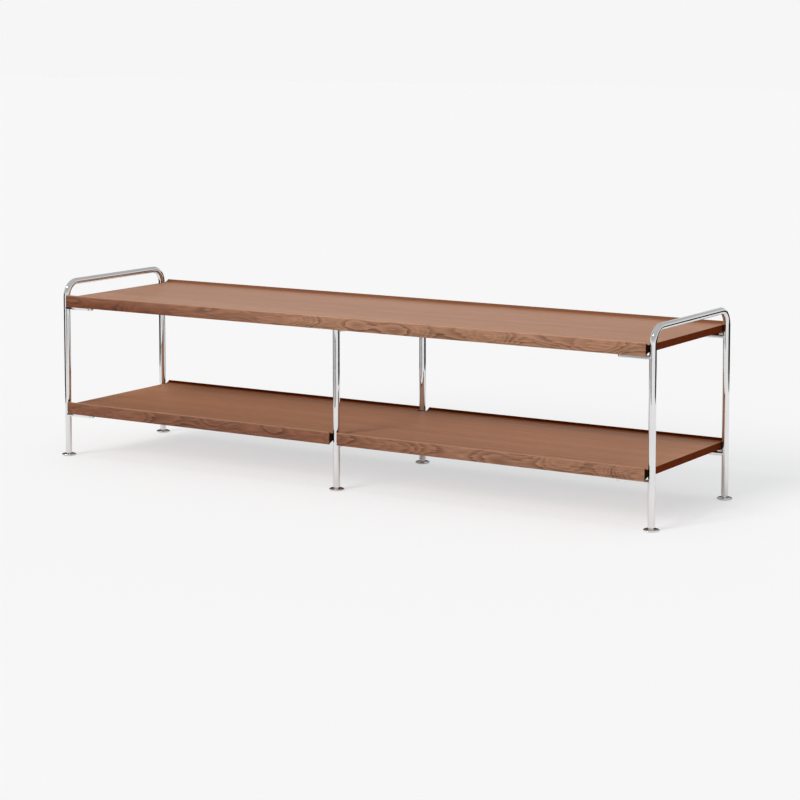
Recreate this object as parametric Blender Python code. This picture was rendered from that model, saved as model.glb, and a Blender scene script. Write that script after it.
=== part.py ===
# Low open console: two long wooden tray shelves carried by chromed steel tube.
# Metres, +Z up, origin on the floor under the middle, +X along the shelves, -Y is the front.

import math
from collections import namedtuple

import bmesh
import bpy
from mathutils import Vector

# Shelves
SHELF_LENGTH = 1.600
SHELF_DEPTH = 0.416
PANEL_THICKNESS = 0.016
TOP_SURFACE_HEIGHT = 0.4015
LOWER_SURFACE_HEIGHT = 0.1315

# Edge mouldings along the front and rear of each shelf, which flare above and below the panel in a cove
EDGE_LIP = 0.007
EDGE_LAND = 0.0007
EDGE_ARRIS = 0.0008
COVE_RUN = 0.020
COVE_STEPS = 6
JOINT_FLAT = 0.0005
TONGUE_THICKNESS = 0.006
TONGUE_DEPTH = 0.008

# Steel tube of the end frames and of the two legs in the middle
TUBE_DIAMETER = 0.016
TUBE_WALL = 0.0015
TUBE_SIDES = 24
BEND_RADIUS = 0.037
BEND_STEPS = 8
BAR_RISE = 0.0445
LEG_INSET = 0.016
END_GAP = 0.002
SLOT_CLEARANCE = 0.002

# Flat tabs welded to the legs under the shelves, a rubber pad on each, and the holes for countersunk screws
TAB_SHOULDER = 0.002
TAB_ROOT = 0.004
TAB_LENGTH = 0.082
TAB_THICKNESS = 0.006
TAB_STEPS = 8
PAD_SETBACK = 0.012
PAD_MARGIN = 0.003
SCREW_HOLE_DIAMETER = 0.0055
SCREW_HEAD_DIAMETER = 0.0096
SCREW_HOLE_COVER = 0.004
SCREW_HOLE_SIDES = 12

# Levelling feet, the glides under them and the threaded inserts that they screw into
FOOT_FLANGE = 0.0085
FOOT_LIFT = 0.0008
FOOT_CHAMFER = 0.0006
FOOT_SKIN = 0.0009
FOOT_DOME = 0.0025
DOME_STEPS = 3
COLLAR_SHOULDER = 0.001
STUD_LENGTH = 0.024
STUD_CHAMFER = 0.001
GLIDE_MARGIN = 0.002
GLIDE_THICKNESS = 0.0018
GLIDE_CHAMFER = 0.0006
INSERT_WALL = 0.0019
INSERT_LENGTH = 0.022
INSERT_SIDES = 16

# Gap left between pieces that touch on the real console
FIT_GAP = 0.0003

# Places worked out from the sizes above
HALF_LENGTH = SHELF_LENGTH / 2
HALF_DEPTH = SHELF_DEPTH / 2
HALF_PANEL = PANEL_THICKNESS / 2
HALF_EDGE = HALF_PANEL + EDGE_LIP
COVE_START = EDGE_ARRIS + EDGE_LAND
COVE_END = COVE_START + COVE_RUN
COVE_RADIUS = (COVE_RUN ** 2 + EDGE_LIP ** 2) / (2 * EDGE_LIP)
COVE_ANGLE = 2 * math.atan2(EDGE_LIP, COVE_RUN)
EDGE_DEPTH = COVE_END + JOINT_FLAT
TUBE_RADIUS = TUBE_DIAMETER / 2
BORE_RADIUS = TUBE_RADIUS - TUBE_WALL
LEG_X = HALF_LENGTH + END_GAP + TUBE_RADIUS
LEG_Y = HALF_DEPTH - LEG_INSET
BAR_HEIGHT = TOP_SURFACE_HEIGHT + BAR_RISE - TUBE_RADIUS
SLOT_HALF = TUBE_RADIUS + SLOT_CLEARANCE
SLOT_END_RADIUS = math.hypot(SLOT_HALF, EDGE_DEPTH - LEG_INSET)
TAB_HALF = TUBE_RADIUS + TAB_SHOULDER
PAD_HALF = TAB_HALF - PAD_MARGIN
PAD_START = TUBE_RADIUS + END_GAP + PAD_SETBACK
PAD_END = TAB_LENGTH - TAB_HALF
SCREW_PLACE = (PAD_START + PAD_END) / 2
SCREW_HOLE_RADIUS = SCREW_HOLE_DIAMETER / 2
SCREW_HEAD_RADIUS = SCREW_HEAD_DIAMETER / 2
SCREW_SINK = SCREW_HEAD_RADIUS - SCREW_HOLE_RADIUS
INSERT_RADIUS = BORE_RADIUS - FIT_GAP
INSERT_BORE = INSERT_RADIUS - INSERT_WALL
STUD_RADIUS = INSERT_BORE - FIT_GAP
COLLAR_RADIUS = TUBE_RADIUS + COLLAR_SHOULDER
FOOT_RADIUS = COLLAR_RADIUS + FOOT_FLANGE
RECESS_RADIUS = FOOT_RADIUS - GLIDE_MARGIN
RECESS_TOP = GLIDE_THICKNESS + FIT_GAP
FOOT_RIM = RECESS_TOP + FOOT_SKIN
FOOT_HEIGHT = FOOT_RIM + FOOT_DOME
LEG_START = FOOT_HEIGHT + FIT_GAP

# Height of the middle of each shelf's panel
SHELF_MIDDLE = {
    "top": TOP_SURFACE_HEIGHT - HALF_PANEL,
    "lower": LOWER_SURFACE_HEIGHT - HALF_PANEL,
}

# Each leg has the heading of the tabs that run in from it, and the side of the shelf that it stands on
Leg = namedtuple("Leg", "label x y heading side")
LEGS = [
    Leg("front_left", -LEG_X, -LEG_Y, 0.0, -1),
    Leg("front_mid", 0.0, -LEG_Y, math.pi / 2, -1),
    Leg("front_right", LEG_X, -LEG_Y, math.pi, -1),
    Leg("rear_left", -LEG_X, LEG_Y, 0.0, 1),
    Leg("rear_mid", 0.0, LEG_Y, -math.pi / 2, 1),
    Leg("rear_right", LEG_X, LEG_Y, math.pi, 1),
]


def clear_scene():
    for old in list(bpy.data.objects):
        bpy.data.objects.remove(old, do_unlink=True)


def make_material(name, colour, roughness, metallic):
    material = bpy.data.materials.new(name)
    material.use_nodes = True
    shader = material.node_tree.nodes["Principled BSDF"]
    shader.inputs["Base Color"].default_value = (*colour, 1.0)
    shader.inputs["Roughness"].default_value = roughness
    shader.inputs["Metallic"].default_value = metallic
    material.diffuse_color = (*colour, 1.0)
    return material


def place(name, bm, material, location=(0, 0, 0), heading=0.0):
    """Make an object of a closed mesh, under the console's empty."""
    bmesh.ops.remove_doubles(bm, verts=bm.verts, dist=1e-7)
    bmesh.ops.recalc_face_normals(bm, faces=bm.faces)
    mesh = bpy.data.meshes.new(name)
    bm.to_mesh(mesh)
    bm.free()
    mesh.shade_smooth()
    mesh.set_sharp_from_angle(angle=math.radians(35))
    if material:
        mesh.materials.append(material)
    piece = bpy.data.objects.new(name, mesh)
    piece.location = location
    piece.rotation_euler = (0, 0, heading)
    piece.parent = CONSOLE
    bpy.context.scene.collection.objects.link(piece)
    return piece


def prism(outline, along):
    """Solid of a closed outline pushed along a vector."""
    bm = bmesh.new()
    face = bm.faces.new([bm.verts.new(point) for point in outline])
    pushed = bmesh.ops.extrude_face_region(bm, geom=[face])
    far_end = [item for item in pushed["geom"] if isinstance(item, bmesh.types.BMVert)]
    bmesh.ops.translate(bm, vec=Vector(along), verts=far_end)
    return bm


def turned(profile, sides, closed=False):
    """Solid of a profile of radius and height turned about Z."""
    bm = bmesh.new()
    points = [bm.verts.new((radius, 0, height)) for radius, height in profile]
    pairs = list(zip(points, points[1:]))
    if closed:
        pairs.append((points[-1], points[0]))
    lines = [bm.edges.new(pair) for pair in pairs]
    bmesh.ops.spin(
        bm,
        geom=points + lines,
        cent=(0, 0, 0),
        axis=(0, 0, 1),
        angle=2 * math.pi,
        steps=sides,
        use_merge=True,
    )
    return bm


def arc(centre, radius, start, end, steps):
    """Points of a circular arc, both ends included."""
    turns = [start + (end - start) * step / steps for step in range(steps + 1)]
    return [(centre[0] + radius * math.cos(turn), centre[1] + radius * math.sin(turn)) for turn in turns]


def as_cutter(piece):
    piece.hide_render = True
    piece.display_type = "WIRE"
    return piece


def cut(piece, cutter):
    difference = piece.modifiers.new("cut", "BOOLEAN")
    difference.operation = "DIFFERENCE"
    difference.solver = "EXACT"
    difference.object = cutter


def cove_drop(depth):
    """How far the flared edge hangs below the panel, at a depth behind the shelf's outer face."""
    reach = min(max(COVE_END - depth, 0), COVE_RUN)
    return COVE_RADIUS - math.sqrt(COVE_RADIUS ** 2 - reach ** 2)


def edge_outline():
    """Section of an edge moulding, as depth behind its outer face and height from its middle."""
    cove_centre = (COVE_END, HALF_PANEL + COVE_RADIUS)
    flat = -math.pi / 2
    upper = [(0, HALF_EDGE - EDGE_ARRIS), (EDGE_ARRIS, HALF_EDGE)]
    upper += arc(cove_centre, COVE_RADIUS, flat - COVE_ANGLE, flat, COVE_STEPS)
    upper += [
        (EDGE_DEPTH, HALF_PANEL),
        (EDGE_DEPTH, TONGUE_THICKNESS / 2),
        (EDGE_DEPTH + TONGUE_DEPTH, TONGUE_THICKNESS / 2),
    ]
    return upper + [(depth, -height) for depth, height in reversed(upper)]


def panel_outline():
    """Section of a panel with a groove in each long edge, as Y and height from its middle."""
    half_groove = TONGUE_THICKNESS / 2 + FIT_GAP
    joint = HALF_DEPTH - EDGE_DEPTH - FIT_GAP
    groove_end = joint - TONGUE_DEPTH
    rear_upper = [(groove_end, half_groove), (joint, half_groove), (joint, HALF_PANEL)]
    rear = rear_upper[::-1] + [(y, -height) for y, height in rear_upper]
    return rear + [(-y, height) for y, height in reversed(rear)]


def make_edge(name, shelf, side, start, end):
    middle = SHELF_MIDDLE[shelf]
    outline = [(start, side * (HALF_DEPTH - depth), middle + height) for depth, height in edge_outline()]
    return place(name, prism(outline, (end - start, 0, 0)), WOOD)


def make_panel(name, shelf):
    outline = [(-HALF_LENGTH, y, SHELF_MIDDLE[shelf] + height) for y, height in panel_outline()]
    return place(name, prism(outline, (SHELF_LENGTH, 0, 0)), WOOD)


def cut_slot(panel, row, side):
    """Round end of the slot that a middle leg passes through, between the two lengths of moulding."""
    floor = SHELF_MIDDLE["lower"] - HALF_EDGE
    height = 2 * HALF_EDGE
    profile = [(0, 0), (SLOT_END_RADIUS, 0), (SLOT_END_RADIUS, height), (0, height)]
    slot = place(f"slot_{row}_cutter", turned(profile, TUBE_SIDES), None, (0, side * LEG_Y, floor))
    cut(panel, as_cutter(slot))


def make_shelves():
    """The two shelves' pieces by shelf and place. The lower edges stop at the slots round the middle legs."""
    pieces = {
        ("top", "panel"): make_panel("top_panel", "top"),
        ("lower", "panel"): make_panel("lower_panel", "lower"),
    }
    for row, side in (("front", -1), ("rear", 1)):
        top = make_edge(f"top_{row}_edge", "top", side, -HALF_LENGTH, HALF_LENGTH)
        left = make_edge(f"lower_{row}_edge_left", "lower", side, -HALF_LENGTH, -SLOT_HALF)
        right = make_edge(f"lower_{row}_edge_right", "lower", side, SLOT_HALF, HALF_LENGTH)
        cut_slot(pieces["lower", "panel"], row, side)
        pieces["top", f"{row}_left"] = top
        pieces["top", f"{row}_right"] = top
        pieces["lower", f"{row}_left"] = left
        pieces["lower", f"{row}_right"] = right
    return pieces


def frame_spine():
    """Centre line of an end frame in the YZ plane, each point with the direction of its outward normal."""
    corner = (BEND_RADIUS - LEG_Y, BAR_HEIGHT - BEND_RADIUS)
    front = [((-LEG_Y, LEG_START), math.pi)]
    for step in range(BEND_STEPS + 1):
        outward = math.pi - math.pi / 2 * step / BEND_STEPS
        point = (corner[0] + BEND_RADIUS * math.cos(outward), corner[1] + BEND_RADIUS * math.sin(outward))
        front.append((point, outward))
    return front + [((-y, height), math.pi - outward) for (y, height), outward in reversed(front)]


def tube_ring(bm, point, outward, radius):
    ring = []
    for side in range(TUBE_SIDES):
        turn = 2 * math.pi * side / TUBE_SIDES
        reach = radius * math.cos(turn)
        y = point[0] + reach * math.cos(outward)
        height = point[1] + reach * math.sin(outward)
        ring.append(bm.verts.new((radius * math.sin(turn), y, height)))
    return ring


def join_rings(bm, first, second):
    for side in range(TUBE_SIDES):
        following = (side + 1) % TUBE_SIDES
        bm.faces.new((first[side], first[following], second[following], second[side]))


def make_end_frame(name, x):
    """One tube bent into an upside-down U, open at both ends."""
    bm = bmesh.new()
    skins = []
    for radius in (TUBE_RADIUS, BORE_RADIUS):
        rings = [tube_ring(bm, point, outward, radius) for point, outward in frame_spine()]
        for first, second in zip(rings, rings[1:]):
            join_rings(bm, first, second)
        skins.append(rings)
    outer, inner = skins
    join_rings(bm, outer[0], inner[0])
    join_rings(bm, outer[-1], inner[-1])
    return place(name, bm, CHROME, (x, 0, 0))


def make_mid_leg(name, y):
    """Straight tube through the lower shelf's slot, closed at its top under the top shelf's flared edge."""
    top = SHELF_MIDDLE["top"] - HALF_PANEL - cove_drop(LEG_INSET - TUBE_RADIUS) - FIT_GAP
    profile = [
        (0, top - TUBE_WALL),
        (BORE_RADIUS, top - TUBE_WALL),
        (BORE_RADIUS, LEG_START),
        (TUBE_RADIUS, LEG_START),
        (TUBE_RADIUS, top),
        (0, top),
    ]
    return place(name, turned(profile, TUBE_SIDES), CHROME, (0, y, 0))


def tab_outline():
    """Plan of a tab from its leg's centre: coped round the tube at the root, half round at the tip."""
    cope = TUBE_RADIUS + FIT_GAP
    mouth = math.acos(TAB_ROOT / cope)
    tip = arc((TAB_LENGTH - TAB_HALF, 0), TAB_HALF, -math.pi / 2, math.pi / 2, TAB_STEPS)
    root = arc((0, 0), cope, mouth, -mouth, TAB_STEPS)
    return [(TAB_ROOT, -TAB_HALF)] + tip + [(TAB_ROOT, TAB_HALF)] + root


def make_tab(name, leg, seat):
    outline = [(along, across, -TAB_THICKNESS) for along, across in tab_outline()]
    return place(name, prism(outline, (0, 0, TAB_THICKNESS)), CHROME, (leg.x, leg.y, seat), leg.heading)


def pad_top(leg):
    """Upper line of a pad's section: flat under the panel, or following the flared edge beside an end leg."""
    if leg.x == 0:
        return [(PAD_HALF, EDGE_LIP), (-PAD_HALF, EDGE_LIP)]
    edge_side = leg.side * round(math.cos(leg.heading))
    places = [PAD_HALF - 2 * PAD_HALF * step / COVE_STEPS for step in range(COVE_STEPS + 1)]
    return [(across, EDGE_LIP - cove_drop(LEG_INSET - edge_side * across)) for across in places]


def make_pad(name, leg, seat):
    """Rubber pad that fills the hollow between a tab and the shelf."""
    section = [(-PAD_HALF, FIT_GAP), (PAD_HALF, FIT_GAP)] + pad_top(leg)
    outline = [(PAD_START, across, height) for across, height in section]
    return place(name, prism(outline, (PAD_END - PAD_START, 0, 0)), RUBBER, (leg.x, leg.y, seat), leg.heading)


def wood_over_screw(leg, shelf, shelves):
    """The panel or moulding, or both at their joint, that the screw of a tab goes up into."""
    if leg.x == 0:
        return [shelves[shelf, "panel"]]
    owners = []
    if LEG_INSET - SCREW_HOLE_RADIUS < EDGE_DEPTH:
        owners.append(shelves[shelf, leg.label])
    if LEG_INSET + SCREW_HOLE_RADIUS > EDGE_DEPTH + FIT_GAP:
        owners.append(shelves[shelf, "panel"])
    return owners


def make_support(leg, shelf, shelves):
    """Tab and pad that carry a shelf at a leg, with the hole for a countersunk screw up into the wood."""
    name = f"{shelf}_{leg.label}"
    seat = SHELF_MIDDLE[shelf] - HALF_EDGE - FIT_GAP
    tab = make_tab(f"tab_{name}", leg, seat)
    pad = make_pad(f"pad_{name}", leg, seat)
    top = EDGE_LIP + FIT_GAP + PANEL_THICKNESS - SCREW_HOLE_COVER
    profile = [
        (0, -TAB_THICKNESS - SCREW_SINK),
        (SCREW_HEAD_RADIUS + SCREW_SINK, -TAB_THICKNESS - SCREW_SINK),
        (SCREW_HOLE_RADIUS, -TAB_THICKNESS + SCREW_SINK),
        (SCREW_HOLE_RADIUS, top),
        (0, top),
    ]
    x = leg.x + SCREW_PLACE * math.cos(leg.heading)
    y = leg.y + SCREW_PLACE * math.sin(leg.heading)
    hole = as_cutter(place(f"hole_{name}_cutter", turned(profile, SCREW_HOLE_SIDES), None, (x, y, seat)))
    for piece in [tab, pad] + wood_over_screw(leg, shelf, shelves):
        cut(piece, hole)


def make_foot(name, leg):
    """Dished disc with a recess for its glide, a collar under the tube and a stud up into the insert."""
    stud_top = FOOT_HEIGHT + STUD_LENGTH
    dome = []
    for step in range(DOME_STEPS + 1):
        turn = math.pi / 2 * step / DOME_STEPS
        dome.append((COLLAR_RADIUS + FOOT_FLANGE * math.cos(turn), FOOT_RIM + FOOT_DOME * math.sin(turn)))
    profile = [
        (0, RECESS_TOP),
        (RECESS_RADIUS, RECESS_TOP),
        (RECESS_RADIUS, FOOT_LIFT),
        (FOOT_RADIUS - FOOT_CHAMFER, FOOT_LIFT),
        (FOOT_RADIUS, FOOT_LIFT + FOOT_CHAMFER),
    ]
    profile += dome
    profile += [
        (STUD_RADIUS, FOOT_HEIGHT),
        (STUD_RADIUS, stud_top - STUD_CHAMFER),
        (STUD_RADIUS - STUD_CHAMFER, stud_top),
        (0, stud_top),
    ]
    return place(name, turned(profile, TUBE_SIDES), CHROME, (leg.x, leg.y, 0))


def make_glide(name, leg):
    """Plastic disc in the foot's recess, which stands on the floor."""
    radius = RECESS_RADIUS - FIT_GAP
    profile = [
        (0, 0),
        (radius - GLIDE_CHAMFER, 0),
        (radius, GLIDE_CHAMFER),
        (radius, GLIDE_THICKNESS),
        (0, GLIDE_THICKNESS),
    ]
    return place(name, turned(profile, TUBE_SIDES), PLASTIC, (leg.x, leg.y, 0))


def make_insert(name, leg):
    """Threaded bush pressed into the lower end of a tube."""
    top = LEG_START + INSERT_LENGTH
    profile = [(INSERT_BORE, LEG_START), (INSERT_RADIUS, LEG_START), (INSERT_RADIUS, top), (INSERT_BORE, top)]
    return place(name, turned(profile, INSERT_SIDES, closed=True), STEEL, (leg.x, leg.y, 0))


clear_scene()
CONSOLE = bpy.data.objects.new("tv_console", None)
bpy.context.scene.collection.objects.link(CONSOLE)
WOOD = make_material("brown stained wood", (0.30, 0.15, 0.085), 0.45, 0.0)
CHROME = make_material("polished chrome", (0.80, 0.80, 0.81), 0.06, 1.0)
STEEL = make_material("zinc plated steel", (0.55, 0.55, 0.56), 0.35, 1.0)
RUBBER = make_material("black rubber", (0.015, 0.015, 0.015), 0.7, 0.0)
PLASTIC = make_material("black plastic", (0.02, 0.02, 0.02), 0.5, 0.0)

SHELVES = make_shelves()
make_end_frame("end_frame_left", -LEG_X)
make_end_frame("end_frame_right", LEG_X)
make_mid_leg("mid_leg_front", -LEG_Y)
make_mid_leg("mid_leg_rear", LEG_Y)
for each_leg in LEGS:
    for each_shelf in SHELF_MIDDLE:
        make_support(each_leg, each_shelf, SHELVES)
    make_foot(f"foot_{each_leg.label}", each_leg)
    make_glide(f"glide_{each_leg.label}", each_leg)
    make_insert(f"insert_{each_leg.label}", each_leg)
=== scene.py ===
import math

import bmesh
import bpy
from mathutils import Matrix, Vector


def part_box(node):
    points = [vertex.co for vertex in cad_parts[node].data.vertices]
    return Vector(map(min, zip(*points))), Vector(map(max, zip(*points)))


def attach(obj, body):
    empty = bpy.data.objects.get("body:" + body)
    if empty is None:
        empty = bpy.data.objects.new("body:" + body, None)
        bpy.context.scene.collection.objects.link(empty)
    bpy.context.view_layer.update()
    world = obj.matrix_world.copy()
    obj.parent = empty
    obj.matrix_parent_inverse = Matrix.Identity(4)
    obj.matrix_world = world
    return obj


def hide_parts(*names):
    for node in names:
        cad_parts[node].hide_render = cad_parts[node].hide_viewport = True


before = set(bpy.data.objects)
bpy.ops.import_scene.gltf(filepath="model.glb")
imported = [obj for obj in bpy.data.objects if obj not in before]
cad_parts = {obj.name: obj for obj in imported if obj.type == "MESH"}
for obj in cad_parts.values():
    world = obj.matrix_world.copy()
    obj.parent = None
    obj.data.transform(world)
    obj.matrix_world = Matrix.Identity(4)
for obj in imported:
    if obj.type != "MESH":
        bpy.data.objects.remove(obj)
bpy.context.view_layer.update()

mm = 0.001
print("frame loaded,", len(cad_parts), "nodes")


def linearColour(hexColour):  # by the sRGB curve
    channels = [int(hexColour[at:at + 2], 16) / 255 for at in (1, 3, 5)]
    linear = [c / 12.92 if c <= 0.04045 else ((c + 0.055) / 1.055) ** 2.4 for c in channels]
    return (*linear, 1.0)


def addNode(tree, kind, inputs=None, stops=None, **settings):
    node = tree.nodes.new(kind)
    for setting, value in settings.items():
        setattr(node, setting, value)
    for socket, value in (inputs or {}).items():
        if isinstance(value, bpy.types.NodeSocket):
            tree.links.new(value, node.inputs[socket])
        else:
            node.inputs[socket].default_value = value
    if stops:
        elements = node.color_ramp.elements
        while len(elements) < len(stops):
            elements.new(1.0)
        for element, (position, hexColour) in zip(elements, stops):
            element.position = position
            element.color = linearColour(hexColour)
    return node


def newMaterial(name):
    material = bpy.data.materials.new(name)
    material.use_nodes = True
    return material, material.node_tree, material.node_tree.nodes["Principled BSDF"]


def perMetre(sizes):  # a pattern's scale from its real sizes in mm along X, Y and Z
    return [1 / (size * mm) for size in sizes]


noiseSpan = {"From Min": 0.3, "From Max": 0.7}  # most of a noise pattern's values lie in between

# Stained ash under a satin lacquer: growth rings cut into bands, flames and islands, a fine fibre
# along the board, short open pores that took more stain, and a soft sheen that pales where the
# surface is seen at a low angle
ashGrain = {
    "log": 23.0,                   # m, each board comes from another place along a log of this length
    "detail": {"wander": 1.0, "fibre": 3.0, "pore": 1.0, "tone": 1.5},
    "earlyRise": 0.12,             # share of a year's ring in which the open early wood sets in
    "earlyFall": (0.15, 0.80),     # shares between which it closes into late wood
    "pits": (0.58, 0.72),          # values of the pore pattern at which a pit starts and is full
    "highlightFrom": 0.2,             # share of a moulding's height from which the painted highlight rises
    "arris": (0.90, 0.96),         # shares of a moulding's height over which the painted highlight along the arris comes in
    "coveLean": (1.0, 0.92),       # upward part of the surface's normal, on the level and where steep
    "bump": 0.12,
    "relief": 0.1 * mm,
}


def stainedAsh(name, look, grain):
    material, tree, shader = newMaterial(name)
    coords = addNode(tree, "ShaderNodeTexCoord").outputs
    board = addNode(tree, "ShaderNodeObjectInfo").outputs["Random"]
    lengthways = addNode(tree, "ShaderNodeSeparateXYZ", {0: coords["Object"]}).outputs["X"]
    along = addNode(tree, "ShaderNodeMath", {0: board, 1: grain["log"], 2: lengthways},
                    operation="MULTIPLY_ADD").outputs[0]
    along = addNode(tree, "ShaderNodeCombineXYZ", {"X": along}).outputs[0]
    section = [0.0] + [side * mm for side in look["board"]]
    place = addNode(tree, "ShaderNodeVectorMath", {0: coords["Generated"], 1: section, 2: along},
                    operation="MULTIPLY_ADD").outputs[0]
    pattern = {}
    for layer, detail in grain["detail"].items():
        scaled = addNode(tree, "ShaderNodeMapping",
                         {"Vector": place, "Scale": perMetre(look[layer])}).outputs[0]
        pattern[layer] = addNode(tree, "ShaderNodeTexNoise",
                                 {"Vector": scaled, "Scale": 1.0, "Detail": detail}).outputs
    fibre = pattern["fibre"][0]

    # rings lie about a pith beside the board, which wanders along the log
    reach = (0.0, look["wanderReach"] * mm, look["wanderReach"] * mm)
    pith = [0.0] + [-(side + look["wanderReach"] / 2) * mm for side in look["pith"]]
    out = addNode(tree, "ShaderNodeVectorMath", {0: coords["Generated"], 1: section, 2: pith},
                  operation="MULTIPLY_ADD").outputs[0]
    out = addNode(tree, "ShaderNodeVectorMath", {0: pattern["wander"][1], 1: reach, 2: out},
                  operation="MULTIPLY_ADD").outputs[0]
    radius = addNode(tree, "ShaderNodeVectorMath", {0: out}, operation="LENGTH").outputs["Value"]
    for frayed, size in ((fibre, look["feather"]), (pattern["tone"][0], look["uneven"])):
        radius = addNode(tree, "ShaderNodeMath", {0: frayed, 1: size * mm, 2: radius},
                         operation="MULTIPLY_ADD").outputs[0]
    rings = addNode(tree, "ShaderNodeMath", {0: radius, 1: look["ring"] * mm},
                    operation="DIVIDE").outputs[0]
    phase = addNode(tree, "ShaderNodeMath", {0: rings}, operation="FRACT").outputs[0]
    rise = addNode(tree, "ShaderNodeMapRange", {"Value": phase, "From Max": grain["earlyRise"]},
                   interpolation_type="SMOOTHSTEP").outputs[0]
    fall = addNode(tree, "ShaderNodeMapRange",
                   {"Value": phase, "From Min": grain["earlyFall"][0], "From Max": grain["earlyFall"][1],
                    "To Min": 1.0, "To Max": 0.0}).outputs[0]
    early = addNode(tree, "ShaderNodeMath", {0: rise, 1: fall}, operation="MULTIPLY").outputs[0]
    year = addNode(tree, "ShaderNodeMath", {0: rings}, operation="FLOOR").outputs[0]
    year = addNode(tree, "ShaderNodeTexWhiteNoise", {"W": year},
                   noise_dimensions="1D").outputs["Value"]  # no two years are alike
    early = addNode(tree, "ShaderNodeMath", {0: early, 1: year}, operation="MULTIPLY").outputs[0]

    # ring, fibre and tone are added up and coloured from pale to dark
    depth = look["start"]
    for layer, share in ((early, look["ringDepth"]), (fibre, look["fibreDepth"]),
                         (pattern["tone"][0], look["toneDepth"])):
        depth = addNode(tree, "ShaderNodeMath", {0: layer, 1: share, 2: depth},
                        operation="MULTIPLY_ADD").outputs[0]
    colours = [(0.0, look["pale"]), (0.5, look["middle"]), (1.0, look["dark"])]
    colour = addNode(tree, "ShaderNodeValToRGB", {"Fac": depth}, stops=colours).outputs[0]
    pits = addNode(tree, "ShaderNodeMapRange",
                   {"Value": pattern["pore"][0], "From Min": grain["pits"][0], "From Max": grain["pits"][1],
                    "To Max": look["poreDepth"]}, interpolation_type="SMOOTHSTEP").outputs[0]
    colour = addNode(tree, "ShaderNodeMix",
                     {0: pits, 6: colour, 7: linearColour(look["poreColour"])},
                     data_type="RGBA").outputs[2]
    if "leftShade" in look:  # painted shade, deepening towards the left end, multiplied in so the figure still shows
        share = addNode(tree, "ShaderNodeMapRange",
                        {"Value": lengthways, "From Min": look["leftShadeEnds"][0],
                         "From Max": look["leftShadeEnds"][1],
                         "To Min": look["leftShadeDepth"], "To Max": 0.0}).outputs[0]
        colour = addNode(tree, "ShaderNodeMix", {0: share, 6: colour, 7: linearColour(look["leftShade"])},
                         data_type="RGBA", blend_type="MULTIPLY").outputs[2]

    # over the figure lie painted shades and a painted highlight, each with its share and its colour
    shades = []
    across = addNode(tree, "ShaderNodeSeparateXYZ", {0: coords["Generated"]}).outputs
    if "flatShade" in look:  # painted shade on the flat beside the coves
        front = addNode(tree, "ShaderNodeMapRange",
                        {"Value": across["Y"], "From Max": look["flatShadeReach"][0],
                         "To Min": look["flatShadeDepth"][0], "To Max": 0.0}).outputs[0]
        rear = addNode(tree, "ShaderNodeMapRange",
                       {"Value": across["Y"], "From Min": 1 - look["flatShadeReach"][1],
                        "To Max": look["flatShadeDepth"][1]}).outputs[0]
        both = addNode(tree, "ShaderNodeMath", {0: front, 1: rear}).outputs[0]
        shades.append((both, look["flatShade"]))
    if "paintedHighlight" in look:  # painted highlight, paler upwards and most of all along the upper arris
        upward = addNode(tree, "ShaderNodeMapRange",
                         {"Value": across["Z"], "From Min": grain["highlightFrom"],
                          "To Max": look["paintedHighlightDepth"][0]}).outputs[0]
        arris = addNode(tree, "ShaderNodeMapRange",
                        {"Value": across["Z"], "From Min": grain["arris"][0],
                         "From Max": grain["arris"][1], "To Max": look["paintedHighlightDepth"][1]}).outputs[0]
        both = addNode(tree, "ShaderNodeMath", {0: upward, 1: arris}).outputs[0]
        shades.append((both, look["paintedHighlight"]))
    if "cove" in look:  # painted shade, the deeper the steeper the cove
        normal = addNode(tree, "ShaderNodeNewGeometry").outputs["Normal"]
        lean = addNode(tree, "ShaderNodeSeparateXYZ", {0: normal}).outputs["Z"]
        steep = addNode(tree, "ShaderNodeMapRange",
                        {"Value": lean, "From Min": grain["coveLean"][0], "From Max": grain["coveLean"][1],
                         "To Min": look["coveDepth"][0], "To Max": look["coveDepth"][1]}).outputs[0]
        shades.append((steep, look["cove"]))
    for share, shade in shades:
        colour = addNode(tree, "ShaderNodeMix", {0: share, 6: colour, 7: linearColour(shade)},
                         data_type="RGBA").outputs[2]

    gloss = addNode(tree, "ShaderNodeMapRange",
                    {"Value": fibre, **noiseSpan,
                     "To Min": look["roughness"][0], "To Max": look["roughness"][1]}).outputs[0]
    height = addNode(tree, "ShaderNodeMath", {0: pits, 1: -1.0, 2: fibre},
                     operation="MULTIPLY_ADD").outputs[0]
    bump = addNode(tree, "ShaderNodeBump", {"Height": height, "Strength": grain["bump"],
                                            "Distance": grain["relief"]}).outputs[0]
    tree.links.new(colour, shader.inputs["Base Color"])
    tree.links.new(gloss, shader.inputs["Roughness"])
    tree.links.new(bump, shader.inputs["Normal"])
    shader.inputs["IOR"].default_value = look["ior"]
    shader.inputs["Specular IOR Level"].default_value = look["sheen"]
    return material


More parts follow.
